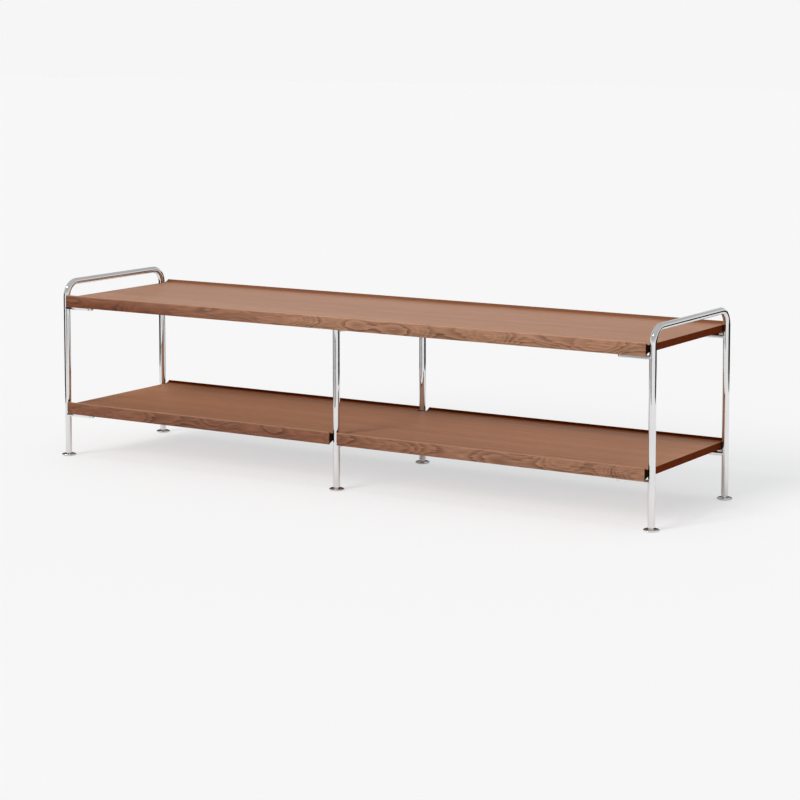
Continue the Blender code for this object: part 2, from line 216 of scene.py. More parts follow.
# The panels are faced with a straight veneer, the mouldings are solid and flat sawn, so theirs shows
# flames. Real ash pores are about 0.2 mm wide: fibre and pores are drawn coarser, so that they show
# colours of painted shade on the coves and on the flats beside them
topPaintedShade = "#673C25"               # on the top shelf; the next line is for the lower shelf
lowerPaintedShade = "#431300"
leftShadeColour = "#B88048"             # what is left of the colour under the full painted shade at the left end
veneerLook = {
    "pale": "#BB835E",
    "middle": "#AA734F",
    "dark": "#905C3B",
    "poreColour": "#6E4227",
    "board": (372, 16),            # mm from front to rear and from bottom to top
    "pith": (-260, -160),          # mm from the board's lower front corner
    "ring": 6.0,                   # mm between growth rings
    "wander": (760, 900, 900),     # mm, as all patterns along, across and up
    "wanderReach": 45.0,           # mm
    "feather": 3.0,                # mm that the fibre frays a ring
    "uneven": 16.0,                # mm that rings lie closer or wider
    "fibre": (90, 2.0, 2.0),
    "pore": (26, 1.3, 1.3),
    "tone": (900, 50, 50),
    "start": -0.16,
    "ringDepth": 0.66,
    "fibreDepth": 0.45,
    "toneDepth": 0.62,
    "poreDepth": 0.30,
    "roughness": (0.38, 0.48),
    "ior": 1.50,                   # of the lacquer
    "sheen": 0.5,
}
topVeneerLook = {
    **veneerLook,
    "flatShade": topPaintedShade,
    "flatShadeReach": (0.50, 0.08),   # shares of the panel's depth, at the front and the rear
    "flatShadeDepth": (0.0, 0.25),
}
# paler than the top veneer, and its coves with it: painted light where the top shelf shades the lower one
lowerVeneerLook = {
    **veneerLook,
    "pale": "#CD9470",
    "middle": "#BE8560",
    "dark": "#A46D4A",
    "sheen": 0.2,
    "flatShade": lowerPaintedShade,
    "flatShadeReach": (0.60, 0.16),
    "flatShadeDepth": (0.32, 0.45),
}
mouldingLook = {
    **veneerLook,
    "pale": "#A0765C",
    "middle": "#805A43",
    "dark": "#57351F",
    "poreColour": "#4A2B18",
    "board": (22, 30),
    "pith": (42, 15),
    "ring": 1.7,
    "wander": (250, 900, 900),
    "wanderReach": 60.0,
    "feather": 2.4,
    "uneven": 3.0,
    "fibre": (48, 3.4, 3.4),
    "fibreDepth": 1.25,
    "tone": (260, 40, 40),
    "toneDepth": 0.45,
    "ringDepth": 0.80,
    "start": -0.48,
    "sheen": 0.3,
}
topMouldingLook = {
    **mouldingLook,
    "paintedHighlight": "#AE846B",
    "paintedHighlightDepth": (0.22, 0.50),     # over the face, and along the arris on top of that
    "leftShade": leftShadeColour,
    "leftShadeEnds": (-0.60, -0.05),   # m along the shelf, between which the painted shade fades
    "leftShadeDepth": 0.9,
}
lowerMouldingLook = {
    **mouldingLook,
    "pale": "#9A7057",
    "middle": "#7B553F",
    "dark": "#51311D",
    "paintedHighlight": "#9A7159",
    "paintedHighlightDepth": (0.15, 0.60),
    "leftShade": leftShadeColour,
    "leftShadeEnds": (0.0, 0.40),
    "leftShadeDepth": 0.6,
}
woodTones = ("pale", "middle", "dark", "poreColour")  # a cove is as pale as the panel beside it
topCoveLook = {
    **mouldingLook,
    **{tone: veneerLook[tone] for tone in woodTones},
    "cove": topPaintedShade,
    "coveDepth": (0.25, 0.86),     # on the level and where steep
    "sheen": 0.10,
}
lowerCoveLook = {
    **mouldingLook,
    **{tone: lowerVeneerLook[tone] for tone in woodTones},
    "cove": lowerPaintedShade,
    "coveDepth": (0.45, 1.0),
    "sheen": 0.0,
}
panelEndLook = {  # cut across the fibre it drinks the stain and shows rings and pore dots; its darkness is partly that and partly painted shade
    **veneerLook,
    "pale": "#6E2B03",
    "middle": "#602402",
    "dark": "#4D1C01",
    "poreColour": "#391401",
    "ring": 3.0,
    "wanderReach": 10.0,
    "feather": 0.5,
    "uneven": 3.0,
    "fibre": (3, 2.0, 2.0),
    "pore": (3, 1.3, 1.3),
    "tone": (60, 60, 60),
    "start": -0.06,
    "ringDepth": 0.55,
    "toneDepth": 0.45,
    "roughness": (0.55, 0.68),
    "sheen": 0.02,
}
# nearly black: stained end grain with painted shade, where the moulding ends stand beside the legs and in
# the slots
mouldingEndLook = {
    **panelEndLook,
    "pale": "#3C1A07",
    "middle": "#2E1305",
    "dark": "#200C03",
    "poreColour": "#140702",
    "board": mouldingLook["board"],
    "pith": mouldingLook["pith"],
}

# Bright chrome over polished steel tube: a cool mirror, with a trace of drawing waves and wiping haze
chromeLook = {
    "bright": "#ECECEC",
    "dull": "#DEDEDE",
    "haze": (90, 90, 90),          # mm
    "wave": (22, 22, 22),          # mm, the slow waves that a drawn tube keeps under its plating
    "detail": {"haze": 3.0, "wave": 0.0},
    "roughness": (0.03, 0.06),
    "bump": 0.05,
    "relief": 0.2 * mm,
}


def chromePlate(name, look):
    material, tree, shader = newMaterial(name)
    here = addNode(tree, "ShaderNodeTexCoord").outputs["Object"]
    pattern = {}
    for layer, detail in look["detail"].items():
        scaled = addNode(tree, "ShaderNodeMapping",
                         {"Vector": here, "Scale": perMetre(look[layer])}).outputs[0]
        pattern[layer] = addNode(tree, "ShaderNodeTexNoise",
                                 {"Vector": scaled, "Scale": 1.0, "Detail": detail}).outputs[0]
    colour = addNode(tree, "ShaderNodeMix",
                     {0: pattern["haze"], 6: linearColour(look["bright"]), 7: linearColour(look["dull"])},
                     data_type="RGBA").outputs[2]
    gloss = addNode(tree, "ShaderNodeMapRange",
                    {"Value": pattern["haze"], **noiseSpan,
                     "To Min": look["roughness"][0], "To Max": look["roughness"][1]}).outputs[0]
    bump = addNode(tree, "ShaderNodeBump", {"Height": pattern["wave"], "Strength": look["bump"],
                                            "Distance": look["relief"]}).outputs[0]
    tree.links.new(colour, shader.inputs["Base Color"])
    tree.links.new(gloss, shader.inputs["Roughness"])
    tree.links.new(bump, shader.inputs["Normal"])
    shader.inputs["Metallic"].default_value = 1.0
    return material


# Finishes of a fine grain over cloudy patches. The real grain is 0.1 mm or less: it is drawn coarser,
# so that it shows
grainyLook = {
    "detail": {"grain": 4.0, "patch": 2.0},
    "grainShare": 0.5,             # of the grain, which is added to the patches
    "darkest": 0.45,               # sum of both up to which the darkest tone reaches
    "relief": 0.1 * mm,
}
rubberLook = {  # moulded in a blasted tool: nearly black, dull and softly pitted
    "pale": "#2A2A2B",
    "dark": "#141415",
    "grain": (0.9, 0.9, 0.9),      # mm
    "patch": (14, 14, 14),         # mm
    "roughness": (0.62, 0.80),
    "bump": 0.35,
    "metallic": 0.0,
    "ior": 1.52,
}
glideLook = {  # moulded, then rubbed by floors: black with a low, even shine
    "pale": "#2E2E30",
    "dark": "#1A1A1C",
    "grain": (0.7, 0.7, 0.7),
    "patch": (20, 20, 20),
    "roughness": (0.42, 0.58),
    "bump": 0.20,
    "metallic": 0.0,
    "ior": 1.53,
}
zincLook = {  # plated in a barrel: bright grey metal with small clouds and blurred reflections
    "pale": "#C9CCD0",
    "dark": "#9FA3A8",
    "grain": (0.8, 0.8, 0.8),
    "patch": (5, 5, 5),
    "roughness": (0.24, 0.40),
    "bump": 0.10,
    "metallic": 1.0,
}


def grainyFinish(name, look, grainy):
    material, tree, shader = newMaterial(name)
    here = addNode(tree, "ShaderNodeTexCoord").outputs["Object"]
    pattern = {}
    for layer, detail in grainy["detail"].items():
        scaled = addNode(tree, "ShaderNodeMapping",
                         {"Vector": here, "Scale": perMetre(look[layer])}).outputs[0]
        pattern[layer] = addNode(tree, "ShaderNodeTexNoise",
                                 {"Vector": scaled, "Scale": 1.0, "Detail": detail}).outputs[0]
    mixed = addNode(tree, "ShaderNodeMath",
                    {0: pattern["grain"], 1: grainy["grainShare"], 2: pattern["patch"]},
                    operation="MULTIPLY_ADD").outputs[0]
    colours = [(grainy["darkest"], look["dark"]), (1.0, look["pale"])]
    colour = addNode(tree, "ShaderNodeValToRGB", {"Fac": mixed}, stops=colours).outputs[0]
    gloss = addNode(tree, "ShaderNodeMapRange",
                    {"Value": pattern["grain"], **noiseSpan,
                     "To Min": look["roughness"][0], "To Max": look["roughness"][1]}).outputs[0]
    bump = addNode(tree, "ShaderNodeBump", {"Height": pattern["grain"], "Strength": look["bump"],
                                            "Distance": grainy["relief"]}).outputs[0]
    tree.links.new(colour, shader.inputs["Base Color"])
    tree.links.new(gloss, shader.inputs["Roughness"])
    tree.links.new(bump, shader.inputs["Normal"])
    shader.inputs["Metallic"].default_value = look["metallic"]
    if "ior" in look:
        shader.inputs["IOR"].default_value = look["ior"]
    return material


finish = {
    "topVeneer": stainedAsh("stained ash veneer, satin lacquer", topVeneerLook, ashGrain),
    "lowerVeneer": stainedAsh("paler stained ash veneer, satin lacquer", lowerVeneerLook, ashGrain),
    "topMoulding": stainedAsh("stained solid ash, satin lacquer", topMouldingLook, ashGrain),
    "lowerMoulding": stainedAsh("darker stained solid ash, satin lacquer", lowerMouldingLook, ashGrain),
    "topCove": stainedAsh("stained ash cove, satin lacquer", topCoveLook, ashGrain),
    "lowerCove": stainedAsh("stained ash cove with deep painted shade, satin lacquer", lowerCoveLook, ashGrain),
    "panelEnd": stainedAsh("stained ash panel end", panelEndLook, ashGrain),
    "mouldingEnd": stainedAsh("stained ash end grain", mouldingEndLook, ashGrain),
    "chrome": chromePlate("bright chrome plate", chromeLook),
    "rubber": grainyFinish("moulded black rubber", rubberLook, grainyLook),
    "glide": grainyFinish("moulded black polyamide", glideLook, grainyLook),
    "zinc": grainyFinish("zinc plated steel", zincLook, grainyLook),
}
print("materials made,", len(finish))


def loft(bm, rings, capStart=True, capEnd=True):
    made = [[bm.verts.new(point) for point in ring] for ring in rings]
    sides = []
    for first, second in zip(made, made[1:]):
        for at in range(len(first)):
            after = (at + 1) % len(first)
            sides.append(bm.faces.new((first[at], first[after], second[after], second[at])))
    caps = []
    if capStart:
        caps.append(bm.faces.new(made[0][::-1]))
    if capEnd:
        caps.append(bm.faces.new(made[-1]))
    return sides, caps


def arc(centre, radius, start, end, steps):
    turns = [start + (end - start) * step / steps for step in range(steps + 1)]
    return [(centre[0] + radius * math.cos(turn), centre[1] + radius * math.sin(turn)) for turn in turns]


def circle(radius, height, sides, centre):
    around = arc(centre, radius, 0.0, 2 * math.pi, sides)[:-1]
    return [(x, y, height) for x, y in around]


def insetOutline(outline, distance):  # the outline runs anticlockwise
    moved = []
    for at, point in enumerate(outline):
        here = Vector(point)
        into = (here - Vector(outline[at - 1])).normalized()
        onward = (Vector(outline[(at + 1) % len(outline)]) - here).normalized()
        first, second = Vector((-into.y, into.x)), Vector((-onward.y, onward.x))
        moved.append(here + (first + second) * distance / (1 + first.dot(second)))
    return moved


def quarterTurns(steps):
    return [math.pi / 2 * step / steps for step in range(steps + 1)]


def roundedLevels(low, high, radius, steps):  # insets and heights of a plate with rounded edges
    lower = [(radius * (1 - math.sin(turn)), low + radius * (1 - math.cos(turn)))
             for turn in quarterTurns(steps)]
    return lower + [(inset, high + low - height) for inset, height in reversed(lower)]


def makePiece(name, bm, materials, body, nodes, sharpAngle=35):
    bmesh.ops.recalc_face_normals(bm, faces=bm.faces)
    mesh = bpy.data.meshes.new(name)
    bm.to_mesh(mesh)
    bm.free()
    mesh.shade_smooth()
    mesh.set_sharp_from_angle(angle=math.radians(sharpAngle))
    for key in materials:
        mesh.materials.append(finish[key])
    piece = bpy.data.objects.new(name, mesh)
    bpy.context.scene.collection.objects.link(piece)
    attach(piece, body)
    if nodes:
        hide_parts(*nodes)


# Shelves: long mouldings that flare above and below the panels
shelfLook = {
    "lip": 7 * mm,
    "belly": 0.7 * mm,             # the mouldings' outer face swells a little
    "bellySteps": 6,
    "arris": 0.7 * mm,             # rounding of the mouldings' outer edges
    "arrisSteps": 5,
    "land": 1.5 * mm,              # from the outer face to where the cove starts
    "coveRun": 20 * mm,
    "coveSteps": 20,
    "joint": 22 * mm,              # depth of a moulding, where it meets the panel
    "hairline": 0.03 * mm,         # gap in that joint
    "endEase": 0.6 * mm,           # rounding of the cut ends
    "endSteps": 3,
    "endTurn": 0.95,               # sides that face the front or rear more than this aren't end grain
    "slotHalf": 10 * mm,           # half the width of the lower shelf's slots for the middle legs
    "slotEnd": 11.66 * mm,         # radius of their round ends
    "slotSteps": 16,
}
coveRadius = (shelfLook["coveRun"] ** 2 + shelfLook["lip"] ** 2) / (2 * shelfLook["lip"])


def mouldingSection(look, halfPanel):  # depth behind the outer face and height from the middle
    halfFace = halfPanel + look["lip"] - look["arris"]
    sweep = 2 * math.atan2(look["lip"], look["coveRun"])
    shares = [step / look["bellySteps"] for step in range(1, look["bellySteps"])]
    upper = [(look["belly"] * share ** 2, halfFace * share) for share in shares]
    upper += arc((look["belly"] + look["arris"], halfFace), look["arris"],
                 math.pi, math.pi / 2, look["arrisSteps"])
    upper += arc((look["land"] + look["coveRun"], halfPanel + coveRadius), coveRadius,
                 -math.pi / 2 - sweep, -math.pi / 2, look["coveSteps"])
    upper.append((look["joint"] - look["hairline"], halfPanel))
    return upper + [(depth, -height) for depth, height in reversed(upper)]


def makeMoulding(name, node, look, shelf):
    low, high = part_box(node)
    panelLow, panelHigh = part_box(f"{shelf}_panel")
    middle = (low.z + high.z) / 2
    section = mouldingSection(look, (panelHigh.z - panelLow.z) / 2)
    eased = insetOutline(section[::-1], look["endEase"])[::-1]
    outerY, inward = (low.y, 1) if low.y < 0 else (high.y, -1)
    rings = []
    for x, outline in ((low.x, eased), (low.x + look["endEase"], section),
                       (high.x - look["endEase"], section), (high.x, eased)):
        rings.append([(x, outerY + inward * depth, middle + height) for depth, height in outline])
    bm = bmesh.new()
    sides, ends = loft(bm, rings)
    for face in sides:
        centre = face.calc_center_median()
        if centre.z > panelHigh.z - look["arris"] and abs(centre.y - outerY) > look["land"]:
            face.material_index = 1
    for face in ends:
        face.material_index = 2
    materials = (f"{shelf}Moulding", f"{shelf}Cove", "mouldingEnd")
    makePiece(name, bm, materials, "console", [node])


def makePanel(name, node, look, veneer, slotted):
    low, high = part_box(node)
    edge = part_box("top_rear_edge")[1].y - look["joint"]
    endX = high.x
    outline = [(-endX, -edge), (endX, -edge), (endX, edge), (-endX, edge)]
    if slotted:
        legY = (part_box("mid_leg_rear")[0].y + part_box("mid_leg_rear")[1].y) / 2
        half = math.asin(look["slotHalf"] / look["slotEnd"])
        front = arc((0, -legY), look["slotEnd"], math.pi / 2 + half, math.pi / 2 - half, look["slotSteps"])
        rear = arc((0, legY), look["slotEnd"], -math.pi / 2 + half, -math.pi / 2 - half, look["slotSteps"])
        outline = [(-endX, -edge)] + front + [(endX, -edge), (endX, edge)] + rear + [(-endX, edge)]
    rings = []
    for inset, z in roundedLevels(low.z, high.z, look["endEase"], look["endSteps"]):
        rings.append([(math.copysign(endX - inset, x) if abs(x) == endX else x, y, z) for x, y in outline])
    bm = bmesh.new()
    sides = loft(bm, rings)[0]
    bm.normal_update()
    for face in sides:
        if abs(face.normal.y) < look["endTurn"]:
            face.material_index = 1
    makePiece(name, bm, (veneer, "panelEnd"), "console", [node])


for shelf in ("top", "lower"):
    panel = f"{shelf}_panel"
    makePanel(f"{panel}_veneered", panel, shelfLook, f"{shelf}Veneer", shelf == "lower")
    for row in ("front", "rear"):
        for part in ("",) if shelf == "top" else ("_left", "_right"):
            name, node = f"{shelf}_{row}_moulding{part}", f"{shelf}_{row}_edge{part}"
            makeMoulding(name, node, shelfLook, shelf)
print("shelves made")


# Tube: two end frames bent from one length each, and two straight legs in the middle
tubeLook = {
    "radius": 8 * mm,
    "bore": 6.5 * mm,
    "boreDepth": 30 * mm,
    "rimEase": 0.5 * mm,
    "rimSteps": 4,
    "bend": 37 * mm,
    "bendSteps": 20,
    "sides": 56,
    "sharpAngle": 60,
    "endDrop": 0.2 * mm,           # the tube ends this much below its solid, a hairline over the foot
}


def tubeRing(point, outward, radius, x, sides):  # outward is the bend's outside, in the YZ plane
    ring = []
    for side in range(sides):
        turn = 2 * math.pi * side / sides
        reach = radius * math.cos(turn)
        ring.append((x + radius * math.sin(turn), point[0] + reach * math.cos(outward),
                     point[1] + reach * math.sin(outward)))
    return ring


def tubeEnd(y, bottom, outward, look, x):  # rings from inside the bore, round the rim, to the full tube
    wall = look["radius"] - look["rimEase"]
    places = [(look["bore"], bottom + look["boreDepth"]), (look["bore"], bottom + look["rimEase"] / 2),
              (look["bore"] + look["rimEase"] / 2, bottom)]
    for turn in quarterTurns(look["rimSteps"]):
        places.append((wall + look["rimEase"] * math.sin(turn),
                       bottom + look["rimEase"] * (1 - math.cos(turn))))
    return [tubeRing((y, z), outward, radius, x, look["sides"]) for radius, z in places]


def makeEndFrame(name, node, look):
    low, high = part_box(node)
    x = (low.x + high.x) / 2
    legY = high.y - look["radius"]
    barZ = high.z - look["radius"]
    bottom = low.z - look["endDrop"]
    corner = (look["bend"] - legY, barZ - look["bend"])
    half = tubeEnd(-legY, bottom, math.pi, look, x)
    for turn in quarterTurns(look["bendSteps"]):
        outward = math.pi - turn
        point = (corner[0] + look["bend"] * math.cos(outward), corner[1] + look["bend"] * math.sin(outward))
        half.append(tubeRing(point, outward, look["radius"], x, look["sides"]))
    mirrored = [[(px, -py, pz) for px, py, pz in ring] for ring in reversed(half)]
    bm = bmesh.new()
    loft(bm, half + mirrored)
    makePiece(name, bm, ("chrome",), "console", [node], look["sharpAngle"])


def makeMidLeg(name, node, look):
    low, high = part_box(node)
    x, y = (low.x + high.x) / 2, (low.y + high.y) / 2
    rings = tubeEnd(y, low.z - look["endDrop"], math.pi, look, x)
    for turn in quarterTurns(look["rimSteps"]):
        radius = look["radius"] - look["rimEase"] * (1 - math.cos(turn))
        z = high.z - look["rimEase"] * (1 - math.sin(turn))
        rings.append(tubeRing((y, z), math.pi, radius, x, look["sides"]))
    bm = bmesh.new()
    loft(bm, rings)
    makePiece(name, bm, ("chrome",), "console", [node], look["sharpAngle"])


for side in ("left", "right"):
    makeEndFrame(f"end_frame_{side}_tube", f"end_frame_{side}", tubeLook)
for row in ("front", "rear"):
    makeMidLeg(f"mid_leg_{row}_tube", f"mid_leg_{row}", tubeLook)
print("tube made")


# Supports: tabs welded to the legs, a rubber packer on each, and a screw up into the wood
headings = {"left": 0.0, "right": math.pi, "front_mid": math.pi / 2, "rear_mid": -math.pi / 2}
legs = {}
for row in ("front", "rear"):
    for place in ("left", "mid", "right"):
        low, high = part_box(f"foot_{row}_{place}")
        heading = headings.get(place, headings.get(f"{row}_{place}"))
        legs[f"{row}_{place}"] = ((low.x + high.x) / 2, (low.y + high.y) / 2, heading)


def fromLeg(leg, along, across, z):
    x, y, heading = leg
    return (x + along * math.cos(heading) - across * math.sin(heading),
            y + along * math.sin(heading) + across * math.cos(heading), z)


tabLook = {
    "half": 10 * mm,               # half its width, and the radius of its round end
    "root": 4 * mm,                # places along it are from the leg's middle
    "length": 82 * mm,
    "edge": 0.8 * mm,              # rounding
    "edgeSteps": 4,
    "tipSteps": 20,
    "cope": 8.05 * mm,             # radius of the hollow that fits the tube
    "copeSteps": 14,
    "sharpAngle": 50,
}
weldLook = {
    "radius": 1.3 * mm,
    "flat": 0.75,                  # the bead's height against its width
    "span": 0.92,                  # share of the cope that it follows
    "steps": 30,
    "sides": 10,
    "ripple": 0.1,                 # share of its radius that the torch's ripples take
    "rippleTurn": 2.1,             # radians from step to step
    "thinEnd": 0.35,               # share of its radius that is left at its ends
    "thinSteps": 3,                # over which it thins
}


def weldBead(leg, z, mouth, cope, look):  # it follows the cope, rippled by the torch
    beads = []
    for step in range(look["steps"] + 1):
        turn = mouth * look["span"] * (2 * step / look["steps"] - 1)
        radius = look["radius"] * (1 - look["ripple"] * (1 - math.cos(step * look["rippleTurn"])))
        fromEnd = min(step, look["steps"] - step) / look["thinSteps"]
        radius *= min(1.0, look["thinEnd"] + (1 - look["thinEnd"]) * fromEnd)
        bead = []
        for along, up in arc((cope, 0.0), radius, 0.0, 2 * math.pi, look["sides"])[:-1]:
            bead.append(fromLeg(leg, along * math.cos(turn), along * math.sin(turn), z + look["flat"] * up))
        beads.append(bead)
    return beads


def makeTab(name, node, leg, look):
    low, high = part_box(node)
    mouth = math.acos(look["root"] / look["cope"])
    tip = arc((look["length"] - look["half"], 0), look["half"], -math.pi / 2, math.pi / 2, look["tipSteps"])
    cope = arc((0, 0), look["cope"], mouth, -mouth, look["copeSteps"])
    outline = [(look["root"], -look["half"])] + tip + [(look["root"], look["half"])] + cope
    rings = []
    for inset, z in roundedLevels(low.z, high.z, look["edge"], look["edgeSteps"]):
        rings.append([fromLeg(leg, along, across, z) for along, across in insetOutline(outline, inset)])
    bm = bmesh.new()
    loft(bm, rings)
    for z in (low.z, high.z):  # a weld below the tab and one above
        loft(bm, weldBead(leg, z, mouth, look["cope"], weldLook))
    makePiece(name, bm, ("chrome",), "console", [node], look["sharpAngle"])


packerLook = {
    "start": 22 * mm,
    "end": 72 * mm,
    "half": 7 * mm,
    "ease": 0.7 * mm,
    "easeSteps": 3,
    "coveSteps": 16,
    "legInset": 16 * mm,           # from a moulding's outer face to the leg's middle
    "clearance": 0.3 * mm,         # below the wood
}


def makePacker(name, node, leg, look):
    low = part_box(node)[0]
    atEnd = round(leg[0], 3) != 0  # the middle legs stand at 0, and their packers lie under flat panel
    outerSide = math.copysign(1, leg[1]) * round(math.cos(leg[2]))
    coveEnd = shelfLook["land"] + shelfLook["coveRun"]
    upper = []
    for step in range(look["coveSteps"] + 1):
        across = look["half"] * (1 - 2 * step / look["coveSteps"])
        drop = 0.0
        if atEnd:
            depth = look["legInset"] - outerSide * across
            reach = min(max(coveEnd - depth, 0), shelfLook["coveRun"])
            drop = coveRadius - math.sqrt(coveRadius ** 2 - reach ** 2)
        upper.append((across, low.z - look["clearance"] + shelfLook["lip"] - drop))
    outline = [(-look["half"], low.z), (look["half"], low.z)] + upper
    rings = []
    for inset, along in roundedLevels(look["start"], look["end"], look["ease"], look["easeSteps"]):
        rings.append([fromLeg(leg, along, across, z) for across, z in insetOutline(outline, inset)])
    bm = bmesh.new()
    loft(bm, rings)
    makePiece(name, bm, ("rubber",), "console", [node])


screwLook = {
    "place": 47 * mm,              # along the tab
    "head": 4.7 * mm,              # radius
    "proud": 0.35 * mm,            # dome of the countersunk head below the tab
    "domeShare": 0.38,             # share of the head that the dome rounds over
    "domeSteps": 6,
    "shank": 2.1 * mm,             # radius
    "length": 22 * mm,
    "tip": 5 * mm,
    "tipShare": 0.3,               # of the shank's radius
    "sides": 24,
    "recess": 2.6 * mm,            # reach of the cross recess from the middle
    "recessArm": 0.22,             # half an arm's width against that reach
    "recessDepth": 1.5 * mm,
    "recessTaper": 0.6,
}


def makeScrew(name, leg, underside, look):  # countersunk, with a low dome and a cross recess
    centre = fromLeg(leg, look["place"], 0.0, 0.0)
    sink = look["head"] - look["shank"]
    top = underside + look["length"]
    places = [(look["shank"] * look["tipShare"], top), (look["shank"], top - look["tip"]),
              (look["shank"], underside + sink)]
    for step in range(look["domeSteps"] + 1):
        share = step / look["domeSteps"]
        places.append((look["head"] * (1 - look["domeShare"] * share),
                       underside - look["proud"] * (1 - (1 - share) ** 2)))
    bm = bmesh.new()
    loft(bm, [circle(radius, z, look["sides"], centre) for radius, z in places], True, False)
    arm, wide = look["recess"], look["recess"] * look["recessArm"]
    cross = [(arm, -wide), (arm, wide), (wide, wide), (wide, arm), (-wide, arm), (-wide, wide),
             (-arm, wide), (-arm, -wide), (-wide, -wide), (-wide, -arm), (wide, -arm), (wide, -wide)]
    bottom = underside - look["proud"]
    recess = []
    for share, z in ((1.0, bottom), (look["recessTaper"], bottom + look["recessDepth"])):
        recess.append([(centre[0] + px * share, centre[1] + py * share, z) for px, py in cross])
    loft(bm, recess, False, True)
    mouthEdges = [edge for edge in bm.edges if edge.is_boundary]
    bmesh.ops.triangle_fill(bm, use_beauty=True, edges=mouthEdges)
    makePiece(name, bm, ("zinc",), "console", [])


for shelf in ("top", "lower"):
    for label, leg in legs.items():
        makeTab(f"tab_{shelf}_{label}_welded", f"tab_{shelf}_{label}", leg, tabLook)
        makePacker(f"packer_{shelf}_{label}", f"pad_{shelf}_{label}", leg, packerLook)
        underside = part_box(f"tab_{shelf}_{label}")[0].z
        makeScrew(f"screw_{shelf}_{label}", leg, underside, screwLook)
print("supports made")


# Levelling feet: a spun disc, a threaded stud, and a glide let into the underside
footLook = {
    "radius": 17.5 * mm,
    "collar": 9 * mm,
    "rimLow": 0.8 * mm,
    "rimHigh": 3.0 * mm,
    "top": 5.5 * mm,
    "recess": 15.5 * mm,
    "recessTop": 2.1 * mm,
    "rimEase": 0.7 * mm,
    "rimSteps": 5,
    "domeSteps": 14,
    "stud": 4.0 * mm,
    "studTop": 29.5 * mm,
    "thread": 0.45 * mm,           # depth of the thread
    "pitch": 1.5 * mm,
    "threadLevels": 96,
    "threadFade": 6,               # levels over which the thread runs out at its ends
    "sides": 64,
    "sharpAngle": 40,
}
glideShape = {
    "radius": 15.2 * mm,
    "thick": 1.8 * mm,
    "ease": 0.7 * mm,
    "easeSteps": 4,
    "sides": 64,
}


def makeFoot(name, node, leg, body, look):
    centre = (leg[0], leg[1])
    places = [(look["recess"], look["recessTop"]), (look["recess"], look["rimLow"])]
    for turn in quarterTurns(look["rimSteps"]):
        places.append((look["radius"] - look["rimEase"] * (1 - math.sin(turn)),
                       look["rimLow"] + look["rimEase"] * (1 - math.cos(turn))))
    for turn in quarterTurns(look["domeSteps"]):
        places.append((look["collar"] + (look["radius"] - look["collar"]) * math.cos(turn),
                       look["rimHigh"] + (look["top"] - look["rimHigh"]) * math.sin(turn)))
    rings = [circle(radius, z, look["sides"], centre) for radius, z in places]
    levels = look["threadLevels"]
    for level in range(levels + 1):
        z = look["top"] + (look["studTop"] - look["top"]) * level / levels
        fade = min(1.0, level / look["threadFade"], (levels - level) / look["threadFade"])
        ring = []
        for side in range(look["sides"]):
            turn = 2 * math.pi * side / look["sides"]
            cutIn = 0.5 - 0.5 * math.cos(2 * math.pi * z / look["pitch"] - turn)
            radius = look["stud"] - look["thread"] * (cutIn * fade + (1 - fade))
            ring.append((centre[0] + radius * math.cos(turn), centre[1] + radius * math.sin(turn), z))
        rings.append(ring)
    bm = bmesh.new()
    loft(bm, rings)
    makePiece(name, bm, ("chrome",), body, [node], look["sharpAngle"])


def makeGlide(name, node, leg, body, look):
    levels = roundedLevels(0.0, look["thick"], look["ease"], look["easeSteps"])
    centre = (leg[0], leg[1])
    bm = bmesh.new()
    loft(bm, [circle(look["radius"] - inset, z, look["sides"], centre) for inset, z in levels])
    makePiece(name, bm, ("glide",), body, [node])


for label, leg in legs.items():
    makeFoot(f"foot_{label}_disc", f"foot_{label}", leg, f"foot_{label}", footLook)
    makeGlide(f"glide_{label}_moulded", f"glide_{label}", leg, f"foot_{label}", glideShape)
    # the bush's shape is right, so it stays with a better finish
    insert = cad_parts[f"insert_{label}"]
    insert.data.materials.clear()
    insert.data.materials.append(finish["zinc"])
print("feet made")


# Studio: an endless pale floor and backdrop, a sky that lights from low all round and from straight
# above, a soft key from the front, a faint small lamp that draws the legs' thin shadows, and low felt
# screens that only polish shows
studioLook = {
    "pale": "#F6F6F6",             # floor and background as the camera sees them
    "floorSize": 60.0,             # m
    "shadow": "#A6A29F",           # how much of the floor's paleness a shadow takes away for the camera
    "bounce": "#E7E7E7",           # how much of the light the floor sends back to the console
    # both skies go from the horizon up
    "sky": [(0.0, "#FFFFFF"), (0.5, "#585858"), (0.8, "#000000"), (1.0, "#F4F4F4")],
    "skyStrength": 2.1,
    "seenSky": [(0.10, "#F6F6F6"), (0.45, "#B8B8B8"), (1.0, "#C8C8C8")],
}
feltLook = {  # flat and matt, only faintly mottled
    "mottle": (9, 9, 9),           # mm, drawn coarser than felt's real fibres
    "detail": 1.0,
    "roughness": 0.9,
}
screenLook = {
    "black": {  # on the left, behind and on the right
        "corners": [(-1.16, -0.67), (-1.77, 0.31), (1.01, 2.05), (2.31, -0.03)],    # m
        "height": 0.50,            # m
        "felt": ("#0A0A0A", "#1C1C1C"),
    },
    "grey": {  # in front, on the left
        "corners": [(-0.82, -1.04), (-0.30, -1.31), (0.74, -1.56)],
        "height": 0.40,
        "felt": ("#B4B4B4", "#CCCCCC"),
    },
}
# heights and angles in degrees; a lamp without a glint lights softly and isn't mirrored in the polish
lampLook = {
    "key": {"from": (-0.25, -0.97), "height": 31.0, "strength": 2.15, "angle": 28.0, "glint": False},
    "spark": {"from": (-0.39, -0.92), "height": 50.0, "strength": 0.3, "angle": 5.0, "glint": True},
}


def seenRays(tree, path):  # what is seen straight, in a mirror or through glass
    seen = path["Is Camera Ray"]
    for ray in ("Is Glossy Ray", "Is Transmission Ray"):
        seen = addNode(tree, "ShaderNodeMath", {0: seen, 1: path[ray]}, operation="MAXIMUM").outputs[0]
    return seen


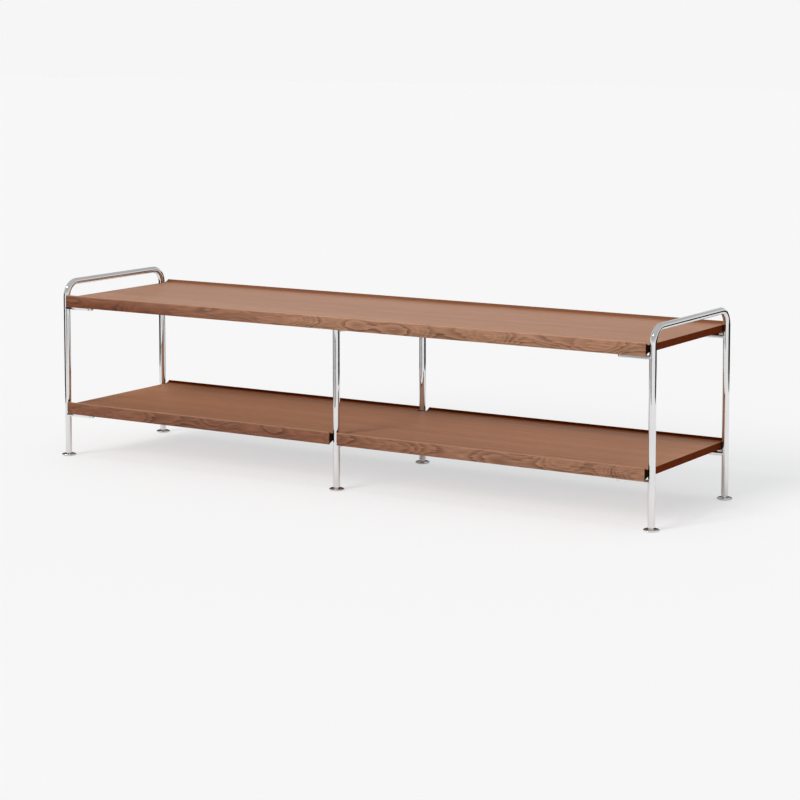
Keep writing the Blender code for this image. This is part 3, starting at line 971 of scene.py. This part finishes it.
def makeFloor(look):
    half = look["floorSize"] / 2
    corners = [(-half, -half, 0), (half, -half, 0), (half, half, 0), (-half, half, 0)]
    mesh = bpy.data.meshes.new("floor")
    mesh.from_pydata(corners, [], [(0, 1, 2, 3)])
    floor = bpy.data.objects.new("floor", mesh)
    bpy.context.scene.collection.objects.link(floor)
    material, tree, shader = newMaterial("pale floor")
    tree.nodes.remove(shader)
    path = addNode(tree, "ShaderNodeLightPath").outputs
    seen = seenRays(tree, path)
    grey = addNode(tree, "ShaderNodeMix",
                   {0: path["Is Camera Ray"], 6: linearColour(look["bounce"]),
                    7: linearColour(look["shadow"])}, data_type="RGBA").outputs[2]
    lift = addNode(tree, "ShaderNodeVectorMath", {0: linearColour(look["pale"])[:3], 1: grey},
                   operation="SUBTRACT").outputs[0]
    matt = addNode(tree, "ShaderNodeBsdfDiffuse", {"Color": grey}).outputs[0]
    light = addNode(tree, "ShaderNodeEmission", {"Color": lift, "Strength": seen}).outputs[0]
    both = addNode(tree, "ShaderNodeAddShader", {0: matt, 1: light}).outputs[0]
    clear = addNode(tree, "ShaderNodeBsdfTransparent").outputs[0]
    # from below, the floor is left open
    below = addNode(tree, "ShaderNodeNewGeometry").outputs["Backfacing"]
    mixed = addNode(tree, "ShaderNodeMixShader", {0: below, 1: both, 2: clear}).outputs[0]
    tree.links.new(mixed, tree.nodes["Material Output"].inputs["Surface"])
    mesh.materials.append(material)


def makeScreen(name, look, cloth):
    bm = bmesh.new()
    posts = [[bm.verts.new((x, y, z)) for z in (0.0, look["height"])] for x, y in look["corners"]]
    for first, second in zip(posts, posts[1:]):
        bm.faces.new((first[0], second[0], second[1], first[1]))
    mesh = bpy.data.meshes.new(name)
    bm.to_mesh(mesh)
    bm.free()
    material, tree, shader = newMaterial(f"{name} felt")
    here = addNode(tree, "ShaderNodeTexCoord").outputs["Object"]
    scaled = addNode(tree, "ShaderNodeMapping",
                     {"Vector": here, "Scale": perMetre(cloth["mottle"])}).outputs[0]
    mottle = addNode(tree, "ShaderNodeTexNoise",
                     {"Vector": scaled, "Scale": 1.0, "Detail": cloth["detail"]}).outputs[0]
    colours = [(0.0, look["felt"][0]), (1.0, look["felt"][1])]
    felt = addNode(tree, "ShaderNodeValToRGB", {"Fac": mottle}, stops=colours).outputs[0]
    tree.links.new(felt, shader.inputs["Base Color"])
    shader.inputs["Roughness"].default_value = cloth["roughness"]
    mesh.materials.append(material)
    screen = bpy.data.objects.new(f"screen_{name}", mesh)
    screen.visible_camera = False
    screen.visible_diffuse = False
    screen.visible_shadow = False
    bpy.context.scene.collection.objects.link(screen)


def makeSky(look):
    world = bpy.data.worlds.new("studio sky")
    bpy.context.scene.world = world
    world.use_nodes = True
    tree = world.node_tree
    tree.nodes.clear()
    toward = addNode(tree, "ShaderNodeTexCoord").outputs["Generated"]
    height = addNode(tree, "ShaderNodeSeparateXYZ", {0: toward}).outputs["Z"]
    skies = []
    for stops, strength in ((look["sky"], look["skyStrength"]), (look["seenSky"], 1.0)):
        ramp = addNode(tree, "ShaderNodeValToRGB", {"Fac": height}, stops=stops).outputs[0]
        sky = addNode(tree, "ShaderNodeBackground", {"Color": ramp, "Strength": strength}).outputs[0]
        skies.append(sky)
    seen = seenRays(tree, addNode(tree, "ShaderNodeLightPath").outputs)
    shown = addNode(tree, "ShaderNodeMixShader", {0: seen, 1: skies[0], 2: skies[1]}).outputs[0]
    addNode(tree, "ShaderNodeOutputWorld", {0: shown})


def makeLamp(name, look):
    lamp = bpy.data.lights.new(name, "SUN")
    lamp.energy = look["strength"]
    lamp.angle = math.radians(look["angle"])
    holder = bpy.data.objects.new(name, lamp)
    rise = math.radians(look["height"])
    flat = Vector((*look["from"], 0)).normalized() * math.cos(rise)
    holder.rotation_mode = "QUATERNION"
    holder.rotation_quaternion = (flat + Vector((0, 0, math.sin(rise)))).to_track_quat("Z", "Y")
    holder.visible_glossy = look["glint"]
    bpy.context.scene.collection.objects.link(holder)


makeFloor(studioLook)
for screenName, look in screenLook.items():
    makeScreen(screenName, look, feltLook)
makeSky(studioLook)
for lampName, look in lampLook.items():
    makeLamp(lampName, look)
bpy.context.scene.view_settings.view_transform = "Standard"
print("studio made")


cameraLook = {
    "place": (2.8916, -4.5376, 1.0878),
    "turn": 0.5588,                # radians from straight ahead towards the left
    "tilt": 0.0959,                # radians down from level
    "lens": 102.15,                # mm
    "sensor": 36,                  # mm across
    "shift": -0.2,                 # the photograph keeps uprights nearly upright
    "farClip": 200,                # m
}


def makeCamera(look):
    data = bpy.data.cameras.new("camera")
    data.sensor_width = look["sensor"]
    data.lens = look["lens"]
    data.shift_y = look["shift"]
    data.clip_end = look["farClip"]
    camera = bpy.data.objects.new("camera", data)
    camera.location = look["place"]
    camera.rotation_euler = (math.pi / 2 - look["tilt"], 0, look["turn"])
    bpy.context.scene.collection.objects.link(camera)
    bpy.context.scene.camera = camera


makeCamera(cameraLook)
print("camera made")
